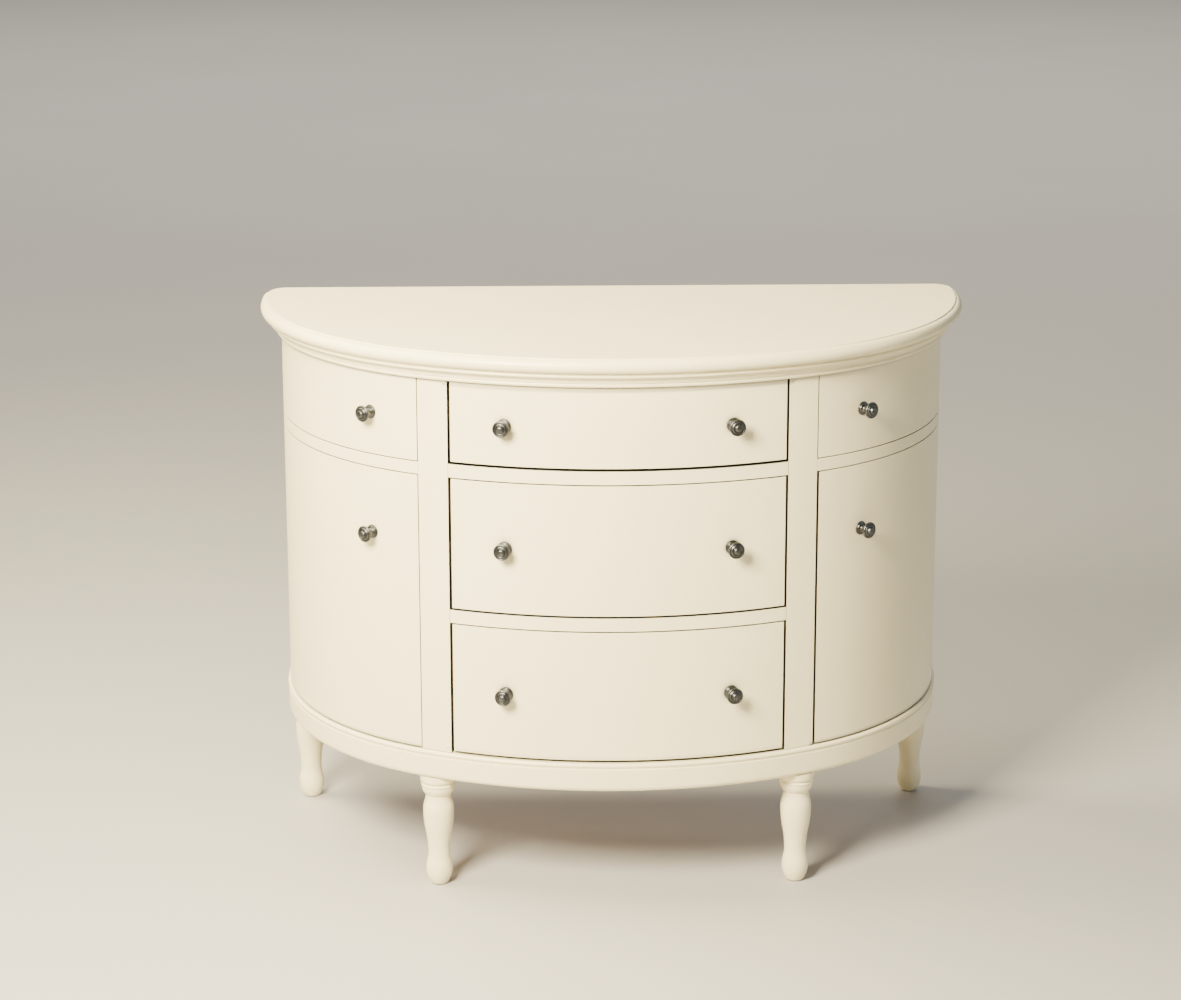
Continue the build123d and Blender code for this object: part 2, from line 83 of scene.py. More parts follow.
# Top edge and mouldings
CORNER = 34.0
QUIRK = 2.0
NOSE = 11.0
NOSE_UNDER = 10.5
BEAD = 3.2
COVE = 7.2
FILLET = 1.2
LOW_BEAD = 4.0
BAND_STAND = 4.0
BAND_BEAD = 4.0
BAND_QUIRK = 2.0
BAND_ROUND = 9.0

# Hidden depths and thicknesses
RAIL_DEPTH = 45.0
PARTITION = 18.0
BACK = 6.0

# Legs: distance of each axis from the curve or the rear, and a hair of room at the back corners
LEG_INSET = 28.0
LEG_REAR = 30.0
LEG_PLAY = 0.05

# Knob places
KNOB_SPREAD = 361.5
KNOB_INSET = 77.0
DOOR_KNOB_DROP = 109.0

# Rear post and door pivot, as angles on the side curve
POST_DEPTH = 74.0
POST_TURN = asin((POST_DEPTH - RUN) / SIDE_R)
PIVOT_R = SIDE_R - THICK / 2
PIVOT_TURN = POST_TURN + (THICK / 2 + SEAM) / PIVOT_R
DRAWER_TURN = POST_TURN + SEAM / SIDE_R

# Faces that meet at more degrees than this have an edge between them: boards, mouldings, turned pieces
SHARP = 35.0
FINE_SHARP = 28.0
TURNED_SHARP = 40.0

# Widths of the eased edges
CARCASS_BEVEL = 0.8
SIDE_BEVEL = 0.7
BACK_BEVEL = 0.3


# Mesh helpers
def new_object(name, mesh, material):
    thing = bpy.data.objects.new(name, mesh)
    bpy.context.scene.collection.objects.link(thing)
    mesh.materials.clear()
    mesh.materials.append(material)
    return thing


def finish_mesh(name, bm, material, sharp=SHARP):
    bmesh.ops.remove_doubles(bm, verts=bm.verts, dist=1e-7)
    bmesh.ops.recalc_face_normals(bm, faces=bm.faces)
    mesh = bpy.data.meshes.new(name)
    bm.to_mesh(mesh)
    bm.free()
    mesh.shade_smooth()
    mesh.set_sharp_from_angle(angle=radians(sharp))
    return new_object(name, mesh, material)


def add_bevel(thing, width):
    bevel = thing.modifiers.new("eased_edges", "BEVEL")
    bevel.width = width
    bevel.segments = 3
    bevel.limit_method = "ANGLE"
    bevel.angle_limit = radians(SHARP)
    bevel.harden_normals = True
    return thing


def bridge(bm, low, high):
    """Faces between two closed rows of points."""
    count = len(low)
    for i in range(count):
        j = (i + 1) % count
        bm.faces.new((low[i], low[j], high[j], high[i]))


def plan_points():
    """Points and outward normals along the half-moon curve, from the left end to the right end."""
    points = [(-HALF, REAR_Y, -1.0, 0.0)]
    arcs = (
        (-SIDE_X, SIDE_Y, SIDE_R, 180.0, 90.0 - degrees(BOW_TURN)),
        (0.0, BOW_Y, BOW_R, 270.0 - degrees(BOW_TURN), 2 * degrees(BOW_TURN)),
        (SIDE_X, SIDE_Y, SIDE_R, 270.0 + degrees(BOW_TURN), 90.0 - degrees(BOW_TURN)),
    )
    for cx, cy, radius, start, turn in arcs:
        count = round(turn)
        first = 0 if len(points) == 1 else 1
        for i in range(first, count + 1):
            a = radians(start + turn * i / count)
            points.append((cx + radius * cos(a), cy + radius * sin(a), cos(a), sin(a)))
    points.append((HALF, REAR_Y, 1.0, 0.0))
    return points


def sweep(name, profile, material, sharp):
    """Run a closed profile of (offset, height) round the whole curve."""
    bm = bmesh.new()
    rows = []
    for x, y, nx, ny in plan_points():
        rows.append([bm.verts.new(((x + nx * o) * MM, (y + ny * o) * MM, z * MM)) for o, z in profile])
    for a, b in zip(rows, rows[1:]):
        bridge(bm, a, b)
    bm.faces.new(list(reversed(rows[0])))
    bm.faces.new(rows[-1])
    return finish_mesh(name, bm, material, sharp)


def plate(name, outline, low, high, material, bevel):
    """A board with the given outline in plan, between two heights, with eased edges."""
    bm = bmesh.new()
    bottom = [bm.verts.new((x * MM, y * MM, low * MM)) for x, y in outline]
    top = [bm.verts.new((x * MM, y * MM, high * MM)) for x, y in outline]
    bridge(bm, bottom, top)
    bm.faces.new(list(reversed(bottom)))
    bm.faces.new(top)
    return add_bevel(finish_mesh(name, bm, material), bevel * MM)


def smooth_profile(points, steps):
    """Points of a smooth curve through the given (radius, height) points."""
    out = []
    last = len(points) - 1
    for i in range(last):
        p0 = Vector(points[max(i - 1, 0)])
        p1 = Vector(points[i])
        p2 = Vector(points[i + 1])
        p3 = Vector(points[min(i + 2, last)])
        for s in range(steps):
            t = s / steps
            v = 0.5 * ((2 * p1) + (p2 - p0) * t + (2 * p0 - 5 * p1 + 4 * p2 - p3) * t * t
                       + (3 * p1 - p0 - 3 * p2 + p3) * t ** 3)
            out.append((max(v.x, 0.0), v.y))
    out.append(tuple(points[last]))
    return out


def ring(bm, matrix, radii, z):
    """A closed row of points round local Z, one for each radius."""
    row = []
    for k, r in enumerate(radii):
        a = 2 * pi * k / len(radii)
        row.append(bm.verts.new(matrix @ Vector((r * cos(a) * MM, r * sin(a) * MM, z * MM))))
    return row


def lathe_into(bm, profile, matrix, segments):
    """Turn an open (radius, height) profile about local Z and close it at its ends."""
    rows = [ring(bm, matrix, [r] * segments, z) for r, z in profile]
    for a, b in zip(rows, rows[1:]):
        bridge(bm, a, b)
    bm.faces.new(list(reversed(rows[0])))
    bm.faces.new(rows[-1])


def bow_y(x, radius=BOW_R):
    return BOW_Y - sqrt(radius ** 2 - x ** 2)


def side_xy(radius, turn, side=1):
    return side * (SIDE_X + radius * cos(turn)), SIDE_Y - radius * sin(turn)


# Procedural materials
def tree_of(name):
    material = bpy.data.materials.new(name)
    material.use_nodes = True
    tree = material.node_tree
    shader = tree.nodes["Principled BSDF"]
    return material, tree, shader


def link(tree, a, b):
    tree.links.new(a, b)


def noise(tree, coords, scale, detail=4.0, roughness=0.5, stretch=(1, 1, 1)):
    mapping = tree.nodes.new("ShaderNodeMapping")
    mapping.inputs["Scale"].default_value = stretch
    link(tree, coords, mapping.inputs["Vector"])
    node = tree.nodes.new("ShaderNodeTexNoise")
    node.inputs["Scale"].default_value = scale
    node.inputs["Detail"].default_value = detail
    node.inputs["Roughness"].default_value = roughness
    link(tree, mapping.outputs["Vector"], node.inputs["Vector"])
    return node.outputs["Fac"]


def ramp(tree, fac, stops):
    node = tree.nodes.new("ShaderNodeValToRGB")
    elements = node.color_ramp.elements
    while len(elements) < len(stops):
        elements.new(0.5)
    for element, (place, colour) in zip(elements, stops):
        element.position = place
        element.color = (*colour, 1.0)
    link(tree, fac, node.inputs["Fac"])
    return node.outputs["Color"]


def spread(tree, fac, low, high):
    node = tree.nodes.new("ShaderNodeMapRange")
    node.inputs["To Min"].default_value = low
    node.inputs["To Max"].default_value = high
    link(tree, fac, node.inputs["Value"])
    return node.outputs["Result"]


def mix(tree, fac, a, b, blend="MIX"):
    node = tree.nodes.new("ShaderNodeMix")
    node.data_type = "RGBA"
    node.blend_type = blend
    if isinstance(fac, float):
        node.inputs["Factor"].default_value = fac
    else:
        link(tree, fac, node.inputs["Factor"])
    for socket, value in ((node.inputs[6], a), (node.inputs[7], b)):
        if isinstance(value, tuple):
            socket.default_value = (*value, 1.0)
        else:
            link(tree, value, socket)
    return node.outputs[2]


def bump(tree, shader, heights):
    """Chain bump nodes: heights are (field, strength, distance in metres)."""
    normal = None
    for field, strength, distance in heights:
        node = tree.nodes.new("ShaderNodeBump")
        node.inputs["Strength"].default_value = strength
        node.inputs["Distance"].default_value = distance
        link(tree, field, node.inputs["Height"])
        if normal is not None:
            link(tree, normal, node.inputs["Normal"])
        normal = node.outputs["Normal"]
    link(tree, normal, shader.inputs["Normal"])


def object_coords(tree):
    return tree.nodes.new("ShaderNodeTexCoord").outputs["Object"]


def crevice(tree, distance):
    """How far a point lies in a recess, from 1 in the open to 0 deep inside."""
    node = tree.nodes.new("ShaderNodeAmbientOcclusion")
    node.samples = 6
    node.inputs["Distance"].default_value = distance
    return node.outputs["AO"]


def combine(tree, operation, *values):
    """A math node on fields and numbers."""
    node = tree.nodes.new("ShaderNodeMath")
    node.operation = operation
    for socket, value in zip(node.inputs, values):
        if isinstance(value, float):
            socket.default_value = value
        else:
            link(tree, value, socket)
    return node.outputs[0]


def near(tree, field, middle, reach):
    """1 where a coordinate lies within reach of a middle value, falling to 0 within 4 mm beyond."""
    away = combine(tree, "ABSOLUTE", combine(tree, "SUBTRACT", field, middle * MM))
    node = tree.nodes.new("ShaderNodeMapRange")
    node.inputs["From Min"].default_value = reach * MM
    node.inputs["From Max"].default_value = (reach + 4.0) * MM
    node.inputs["To Min"].default_value = 1.0
    node.inputs["To Max"].default_value = 0.0
    link(tree, away, node.inputs["Value"])
    return node.outputs["Result"]


def wide_shade_zones(tree, coords):
    """Joints given the wider painted shade: round the centre drawers, under the doors, at the right door's free
    edge.
    """
    parts = tree.nodes.new("ShaderNodeSeparateXYZ")
    link(tree, coords, parts.inputs[0])
    x, z = parts.outputs["X"], parts.outputs["Z"]
    fronts = near(tree, z, (BASE_TOP + CORNICE) / 2, (CORNICE - BASE_TOP) / 2 - 8.0)
    centre = combine(tree, "MULTIPLY", near(tree, x, 0.0, OPEN_X + 6.0), fronts)
    below = near(tree, z, (BASE_TOP + UPPER_RAIL) / 2, (UPPER_RAIL - BASE_TOP) / 2)
    edge = combine(tree, "MULTIPLY", near(tree, x, JOINT_X, 4.0), below)
    doors = near(tree, combine(tree, "ABSOLUTE", x), (JOINT_X + HALF) / 2 + 4.0, (HALF - JOINT_X) / 2)
    feet = combine(tree, "MULTIPLY", doors, near(tree, z, BASE_TOP, 6.0))
    return combine(tree, "MAXIMUM", combine(tree, "MAXIMUM", centre, edge), feet)


def painted_shade_ramp(tree, open_air, deep, clear):
    """Painted shade that deepens from the clear paint, through a cool grey, to near black deep in a joint or
    recess.
    """
    middle = (deep + clear) / 2
    stops = [(deep, (0.008, 0.009, 0.014)), (middle, (0.44, 0.49, 0.66)), (clear, (1.0, 1.0, 1.0))]
    return ramp(tree, open_air, stops)


def paint_material(name, fronts):
    """Satin cream paint: faint mottling, roller texture, brush drag, painted shade deep in the joints and
    recesses.
    """
    material, tree, shader = tree_of(name)
    coords = object_coords(tree)
    mottle = noise(tree, coords, 3.5, 3.0, 0.55)
    fine = noise(tree, coords, 60.0, 4.0, 0.6)
    colour = ramp(tree, mottle, [(0.3, (0.888, 0.785, 0.505)), (0.7, (0.910, 0.815, 0.540))])
    grainy = ramp(tree, fine, [(0.35, (0.985, 0.985, 0.985)), (0.7, (1.0, 1.0, 1.0))])
    colour = mix(tree, 1.0, colour, grainy, "MULTIPLY")
    # Painted shade: ambient occlusion darkens the paint in recesses, and on the fronts more strongly along the
    # gaps between them
    open_air = crevice(tree, 0.012)
    shade = painted_shade_ramp(tree, open_air, 0.04, 0.16)
    if fronts:
        tight, wide = painted_shade_ramp(tree, open_air, 0.52, 0.78), painted_shade_ramp(tree, open_air, 0.80, 0.96)
        shade = mix(tree, wide_shade_zones(tree, coords), tight, wide)
    colour = mix(tree, 1.0, colour, shade, "MULTIPLY")
    link(tree, colour, shader.inputs["Base Color"])
    sheen = noise(tree, coords, 14.0, 5.0, 0.6)
    link(tree, spread(tree, sheen, 0.27, 0.38), shader.inputs["Roughness"])
    shader.inputs["Specular IOR Level"].default_value = 0.45
    roller = noise(tree, coords, 420.0, 3.0, 0.5)
    drag = noise(tree, coords, 24.0, 5.0, 0.6, (1.0, 1.0, 9.0))
    bump(tree, shader, [(drag, 0.06, 0.0006), (roller, 0.10, 0.0003)])
    return material


def wood_material(name, dark, light, axis, scale=1.0, rough=(0.55, 0.72), rings=0.5):
    """Straight-grained wood: long fibres, growth bands, pores and a few darker streaks."""
    material, tree, shader = tree_of(name)
    coords = object_coords(tree)
    along = [1.0, 1.0, 1.0]
    along[axis] = 0.06
    stretch = tuple(along)
    warp = noise(tree, coords, 5.0 * scale, 3.0, 0.5, stretch)
    bands = noise(tree, coords, 26.0 * scale, 6.0, 0.62, stretch)
    fibre = noise(tree, coords, 260.0 * scale, 3.0, 0.7, stretch)
    wave = tree.nodes.new("ShaderNodeTexWave")
    wave.wave_type = "BANDS"
    wave.bands_direction = "DIAGONAL"
    wave.inputs["Scale"].default_value = 9.0 * scale
    wave.inputs["Distortion"].default_value = 7.0
    wave.inputs["Detail"].default_value = 3.0
    wave.inputs["Detail Scale"].default_value = 1.4
    mapping = tree.nodes.new("ShaderNodeMapping")
    mapping.inputs["Scale"].default_value = stretch
    link(tree, coords, mapping.inputs["Vector"])
    link(tree, mapping.outputs["Vector"], wave.inputs["Vector"])
    mid = tuple((a + b) / 2 for a, b in zip(dark, light))
    colour = ramp(tree, bands, [(0.30, dark), (0.5, mid), (0.72, light)])
    growth = ramp(tree, wave.outputs["Fac"], [(0.0, (0.72, 0.68, 0.62)), (0.45, (1.0, 1.0, 1.0))])
    colour = mix(tree, rings, colour, growth, "MULTIPLY")
    streak = ramp(tree, fibre, [(0.38, (0.80, 0.77, 0.72)), (0.55, (1.0, 1.0, 1.0))])
    colour = mix(tree, 0.6, colour, streak, "MULTIPLY")
    tint = ramp(tree, warp, [(0.35, (0.93, 0.90, 0.86)), (0.65, (1.0, 1.0, 1.0))])
    colour = mix(tree, 0.8, colour, tint, "MULTIPLY")
    link(tree, colour, shader.inputs["Base Color"])
    link(tree, spread(tree, fibre, rough[0], rough[1]), shader.inputs["Roughness"])
    shader.inputs["Specular IOR Level"].default_value = 0.35
    bump(tree, shader, [(bands, 0.10, 0.0006), (fibre, 0.25, 0.0002)])
    return material


def metal_material(name, dark, light, rough, recess_colour=None, recess_depth=0.003):
    """Worn metal: cloudy tone, patchy roughness, small pits and darker recesses."""
    material, tree, shader = tree_of(name)
    coords = object_coords(tree)
    cloud = noise(tree, coords, 130.0, 5.0, 0.6)
    pits = noise(tree, coords, 900.0, 3.0, 0.6)
    colour = ramp(tree, cloud, [(0.32, dark), (0.68, light)])
    if recess_colour:
        recess = spread(tree, crevice(tree, recess_depth), 0.9, 0.0)
        colour = mix(tree, recess, colour, recess_colour)
    link(tree, colour, shader.inputs["Base Color"])
    shader.inputs["Metallic"].default_value = 1.0
    link(tree, spread(tree, cloud, rough[0], rough[1]), shader.inputs["Roughness"])
    bump(tree, shader, [(pits, 0.12, 0.0001)])
    return material


def plastic_material(name, colour_a, colour_b):
    """Moulded plastic with a fine spark texture."""
    material, tree, shader = tree_of(name)
    coords = object_coords(tree)
    grain = noise(tree, coords, 1500.0, 2.0, 0.5)
    cloud = noise(tree, coords, 60.0, 3.0, 0.5)
    link(tree, ramp(tree, cloud, [(0.3, colour_a), (0.7, colour_b)]), shader.inputs["Base Color"])
    link(tree, spread(tree, cloud, 0.42, 0.55), shader.inputs["Roughness"])
    bump(tree, shader, [(grain, 0.2, 0.0001)])
    return material


# Both paints carry painted shade in deep recesses; the fronts' paint also carries wider, darker painted shade
# along the gaps round the fronts
PAINT = paint_material("cream_paint", False)
PAINT_FRONTS = paint_material("cream_paint_fronts", True)
DRAWER_TONES = ((0.43, 0.28, 0.14), (0.60, 0.42, 0.235))
SEALED = (0.42, 0.58)
DRAWER_WOOD = wood_material("drawer_wood", *DRAWER_TONES, 1, rough=SEALED)
DRAWER_WOOD_ACROSS = wood_material("drawer_wood_across", *DRAWER_TONES, 0, rough=SEALED)
RAW_TONES = ((0.37, 0.245, 0.125), (0.54, 0.385, 0.215))
RAW_WOOD = wood_material("raw_wood", *RAW_TONES, 1)
RAW_ACROSS = wood_material("raw_wood_across", *RAW_TONES, 0)
RAW_UPRIGHT = wood_material("raw_wood_upright", *RAW_TONES, 2)
BACK_BOARD = wood_material("back_board", (0.44, 0.31, 0.18), (0.57, 0.43, 0.27), 2, 0.9, (0.62, 0.80), 0.35)
PEWTER = metal_material("pewter", (0.066, 0.068, 0.070), (0.135, 0.138, 0.140), (0.30, 0.42),
                        (0.006, 0.006, 0.005), 0.0034)
BRASS = metal_material("brass", (0.60, 0.42, 0.17), (0.76, 0.58, 0.28), (0.25, 0.40))
STEEL = metal_material("steel", (0.42, 0.42, 0.44), (0.58, 0.58, 0.60), (0.28, 0.42))
CATCH = plastic_material("catch_plastic", (0.70, 0.67, 0.60), (0.78, 0.75, 0.68))


# Turned and moulded outlines
def arc_points(cx, cz, radius, start, end, steps):
    """Points of an arc between two angles in degrees."""
    out = []
    for i in range(steps + 1):
        a = radians(start + (end - start) * i / steps)
        out.append((cx + radius * cos(a), cz + radius * sin(a)))
    return out


def top_profile():
    """From the lip of the flat, down the quirk and round the bullnose to its underside."""
    flat = OVERHANG - NOSE
    widest = TOP - QUIRK - NOSE
    under = OVERHANG - NOSE_UNDER
    points = [(flat - 0.6, TOP), (flat, TOP - 0.5), (flat, TOP - QUIRK)]
    points += arc_points(flat, widest, NOSE, 90, 0, 14)[1:]
    points += arc_points(under, widest, NOSE_UNDER, 0, -90, 12)[1:]
    points.append((under, BOARD))
    return points


def cornice_profile():
    """Bead, cove and low bead between square fillets, each member stepping inwards."""
    stand = OVERHANG - NOSE_UNDER - FILLET
    cove_top = stand - BEAD - FILLET
    cove_foot = cove_top - COVE
    bead_z = BOARD - FILLET
    cove_z = bead_z - 2 * BEAD - FILLET
    low_z = CORNICE + 2 * LOW_BEAD
    bead = stand - BEAD
    low = cove_foot - FILLET - LOW_BEAD
    points = [(-THICK, CORNICE), (-THICK, BOARD), (stand, BOARD), (stand, bead_z)]
    points += arc_points(bead, bead_z - BEAD, BEAD, 90, -90, 12)
    points += [(cove_top, bead_z - 2 * BEAD), (cove_top, cove_z)]
    points += arc_points(cove_top, cove_z - COVE, COVE, 90, 180, 10)
    points += [(cove_foot, low_z)]
    points += arc_points(low, low_z - LOW_BEAD, LOW_BEAD, 90, -90, 12)
    return points


def band_profile():
    """The plinth: bead and quirk at the top, plain face, soft lower edge."""
    bead = BAND_STAND - 0.8 * BAND_BEAD
    quirk = bead + BAND_BEAD / 2
    quirk_z = BASE_TOP - 2 * BAND_BEAD - BAND_QUIRK
    points = [(-THICK, LEG_H), (-THICK, BASE_TOP)]
    points += arc_points(bead, BASE_TOP - BAND_BEAD, BAND_BEAD, 90, -60, 12)
    points += [(quirk, quirk_z), (BAND_STAND - 0.5, quirk_z), (BAND_STAND, quirk_z - 0.5)]
    points += arc_points(BAND_STAND - BAND_ROUND, LEG_H + BAND_ROUND, BAND_ROUND, 0, -90, 10)
    return points


def arc_from_upright(start, end, steps):
    """Points of an arc that leaves its start (radius, height) upright and passes through its end."""
    dr, dz = end[0] - start[0], end[1] - start[1]
    radius = (dr * dr + dz * dz) / (2 * abs(dr))
    turn = 2 * atan2(abs(dr), abs(dz))
    out = []
    for i in range(steps + 1):
        a = turn * i / steps
        out.append((start[0] + copysign(radius * (1 - cos(a)), dr), start[1] + copysign(radius * sin(a), dz)))
    return out


def s_curve(start, end, steps=7):
    """Two equal arcs between two points, upright at both."""
    middle = ((start[0] + end[0]) / 2, (start[1] + end[1]) / 2)
    return arc_from_upright(start, middle, steps) + list(reversed(arc_from_upright(end, middle, steps)))[1:]


def leg_profile():
    """Bulb foot, ankle, long swelling, neck, bell, ring and collar, from the sole up."""
    bulb = (21.8, 0.14 * LEG_H)
    marks = [bulb, (18.0, 0.285 * LEG_H), (25.4, 0.67 * LEG_H), (20.8, 0.815 * LEG_H)]
    points = [(0.0, 0.0), (11.8, 0.0)] + list(reversed(arc_from_upright(bulb, (13.0, 0.0), 12)))[1:]
    for start, end in zip(marks, marks[1:]):
        points += s_curve(start, end)[1:]
    bell_z = 0.885 * LEG_H
    points += list(reversed(arc_from_upright((27.2, bell_z), marks[-1], 8)))[1:]
    ring_low, ring_high = 0.892 * LEG_H, 0.922 * LEG_H
    points.append((27.2, ring_low))
    points += arc_points(26.9, (ring_low + ring_high) / 2, (ring_high - ring_low) * 0.3, -70, 70, 8)
    points += [(27.2, ring_high), (27.2, 0.930 * LEG_H), (28.9, 0.937 * LEG_H), (29.8, 0.944 * LEG_H)]
    points += [(30.0, 0.952 * LEG_H), (30.0, LEG_H), (0.0, LEG_H)]
    return points


# A knob's (radius, height) profile, from its foot to the middle of its head, and the smooth curve through it
KNOB = [
    (0.0, 0.0), (10.6, 0.0), (11.0, 0.4), (11.0, 1.1), (10.5, 1.8), (9.4, 2.1), (9.0, 2.6), (8.6, 3.3), (7.2, 3.8),
    (5.8, 4.7), (4.9, 6.4), (4.6, 9.0), (4.7, 12.0), (5.4, 14.2), (7.4, 15.6), (10.4, 16.6), (12.6, 17.6),
    (13.5, 18.8), (13.6, 20.0), (13.2, 21.1), (12.3, 21.8), (11.4, 21.9), (10.9, 21.5), (10.4, 21.5),
    (9.9, 22.2), (8.9, 23.1), (7.8, 23.4), (7.0, 23.1), (6.4, 23.2), (5.9, 24.2), (5.3, 25.5), (4.2, 26.5),
    (2.4, 26.95), (0.0, 27.0),
]
KNOB_PROFILE = KNOB[:1] + smooth_profile(KNOB[1:], 4)


# Pieces of the carcass
def top_path():
    """The plan curve with rounded rear corners, where the moulded edge fades to a square one."""
    steps = 12

    def corner(side, i):
        a = pi / 2 * i / steps
        return (side * HALF, REAR_Y - CORNER, side * cos(a), sin(a), i / steps)
    path = [corner(-1, i) for i in range(steps, -1, -1)]
    path += [(*point, 0.0) for point in plan_points()[1:-1]]
    return path + [corner(1, i) for i in range(steps + 1)]


def top_piece():
    """The half-moon top: its moulded edge run round, and flat faces filled in above and below."""
    bm = bmesh.new()
    profile = top_profile()
    rows = []
    for x, y, nx, ny, fade in top_path():
        row = []
        for offset, z in profile:
            o = offset + (CORNER - offset) * fade * fade
            row.append(bm.verts.new(((x + nx * o) * MM, (y + ny * o) * MM, z * MM)))
        rows.append(row)
    for a, b in zip(rows, rows[1:]):
        for i in range(len(profile) - 1):
            bm.faces.new((a[i], a[i + 1], b[i + 1], b[i]))
    bm.faces.new([row[0] for row in rows])
    bm.faces.new([row[-1] for row in reversed(rows)])
    bm.faces.new(rows[0] + list(reversed(rows[-1])))
    top = finish_mesh("top_board_finished", bm, PAINT, FINE_SHARP)
    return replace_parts(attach(top, "cabinet"), "top_board")


def swept_piece(name, node, profile):
    piece = sweep(name, profile, PAINT, FINE_SHARP)
    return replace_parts(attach(piece, "cabinet"), node)


def bow_row(left, right, radius=BOW_R, steps=48):
    """Points along the front bow, or along a curve inside it."""
    xs = [left + (right - left) * i / steps for i in range(steps + 1)]
    return [(x, bow_y(x, radius)) for x in xs]


def centre_outline():
    """Plan of a centre drawer front."""
    left, right = LEFT_CENTRE_GAP - OPEN_X, OPEN_X - RIGHT_CENTRE_GAP
    return bow_row(left, right) + list(reversed(bow_row(left, right, BOW_R - THICK)))


def side_row(side, radius, near_x, last_turn, steps=44):
    """Points along a side curve, from a plane at near_x back to a radial end."""
    first = acos((near_x - SIDE_X) / radius)
    return [side_xy(radius, first + (last_turn - first) * i / steps, side) for i in range(steps + 1)]


def side_outline(side):
    """Plan of a side drawer front."""
    near_x = JOINT_X + SIDE_GAP
    inner = side_row(side, SIDE_R - THICK, near_x, DRAWER_TURN)
    return side_row(side, SIDE_R, near_x, DRAWER_TURN) + list(reversed(inner))


def door_outline(side):
    """Plan of a door, half-round at its pivot edge."""
    near_x = JOINT_X + (RIGHT_DOOR_GAP if side > 0 else SIDE_GAP)
    outer = side_row(side, SIDE_R, near_x, PIVOT_TURN)
    inner = list(reversed(side_row(side, SIDE_R - THICK, near_x, PIVOT_TURN)))
    px, py = SIDE_X + PIVOT_R * cos(PIVOT_TURN), SIDE_Y - PIVOT_R * sin(PIVOT_TURN)
    cap = []
    for i in range(1, 12):
        a = -PIVOT_TURN + pi * i / 12
        cap.append((side * (px + THICK / 2 * cos(a)), py + THICK / 2 * sin(a)))
    return outer + cap + inner


def rail_outline():
    back = bow_y(OPEN_X) + RAIL_DEPTH
    return bow_row(-OPEN_X, OPEN_X) + [(OPEN_X, back), (-OPEN_X, back)]


def stile_outline(side, steps=8):
    xs = [OPEN_X + STILE * i / steps for i in range(steps + 1)]
    outer = [(side * x, bow_y(x)) for x in xs]
    inner = [(side * x, bow_y(x, BOW_R - THICK)) for x in xs if x <= (BOW_R - THICK) * sin(BOW_TURN)]
    corner = acos((JOINT_X - SIDE_X) / (SIDE_R - THICK))
    inner.append(side_xy(SIDE_R - THICK, corner, side))
    return outer + list(reversed(inner))


def post_outline(side, steps=8):
    outer = [(side * HALF, REAR_Y)]
    outer += [side_xy(SIDE_R, POST_TURN * i / steps, side) for i in range(steps + 1)]
    inner = [(side * (HALF - THICK), REAR_Y)]
    inner += [side_xy(SIDE_R - THICK, POST_TURN * i / steps, side) for i in range(steps + 1)]
    return outer + list(reversed(inner))


def deck_outline(side):
    """The deck's curved front edge between stile and rear post, and its straight inner edges."""
    wall = OPEN_X + PARTITION
    behind = SIDE_R - THICK
    corner = acos((JOINT_X - SIDE_X) / behind)
    points = [(side * wall, bow_y(wall, BOW_R - THICK)), side_xy(behind, corner, side)]
    points += side_row(side, SIDE_R, JOINT_X, POST_TURN)
    points.append(side_xy(behind, POST_TURN, side))
    points += [side_xy(behind, POST_TURN * (1 - i / 4), side) for i in range(1, 5)]
    points += [(side * (HALF - THICK), REAR_Y - BACK), (side * wall, REAR_Y - BACK)]
    return points


def plate_piece(name, node, body, outline, low, high, bevel, material=PAINT_FRONTS):
    piece = plate(name, outline, low, high, material, bevel)
    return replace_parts(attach(piece, body), node)


def turned(name, nodes, body, profile, places, material, segments):
    bm = bmesh.new()
    for matrix in places:
        lathe_into(bm, profile, matrix, segments)
    piece = finish_mesh(name, bm, material, TURNED_SHARP)
    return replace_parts(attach(piece, body), *nodes)


def knob_place(cx, cy, radius, turn, z, side=1, tilt=90):
    """A spot on a curve, facing straight out from it; with a tilt of -90 it faces into the cabinet."""
    x = cx + radius * sin(turn)
    y = cy - radius * cos(turn)
    spin = Matrix.Rotation(side * turn, 4, "Z") @ Matrix.Rotation(radians(tilt), 4, "X")
    return Matrix.Translation((side * x * MM, y * MM, z * MM)) @ spin


def leg_places():
    front_x = (OPEN_X + JOINT_X) / 2
    front_y = BOW_Y - sqrt((BOW_R - LEG_INSET) ** 2 - front_x ** 2)
    rear_x = HALF - LEG_INSET - LEG_PLAY
    rear_y = REAR_Y - LEG_REAR - LEG_PLAY
    return {"front_left": (-front_x, front_y), "front_right": (front_x, front_y),
            "rear_left": (-rear_x, rear_y), "rear_right": (rear_x, rear_y)}


def build_carcass():
    top_piece()
    swept_piece("cornice_finished", "cornice", cornice_profile())
    swept_piece("base_band_finished", "base_band", band_profile())
    for node, low in (("lower_rail", LOWER_RAIL), ("upper_rail", UPPER_RAIL)):
        plate_piece(node + "_finished", node, "cabinet", rail_outline(), low, low + RAIL_H, CARCASS_BEVEL)
    for word, side in (("left", -1), ("right", 1)):
        for kind, outline, low, high in (
            ("stile", stile_outline(side), BASE_TOP, CORNICE),
            ("rear_post", post_outline(side), BASE_TOP, CORNICE),
            ("deck", deck_outline(side), UPPER_RAIL, DECK_TOP),
        ):
            node = word + "_" + kind
            plate_piece(node + "_finished", node, "cabinet", outline, low, high, CARCASS_BEVEL)
    for word, (x, y) in leg_places().items():
        turned(word + "_leg_finished", [word + "_leg"], "cabinet", leg_profile(),
               [Matrix.Translation((x * MM, y * MM, 0))], PAINT, 80)


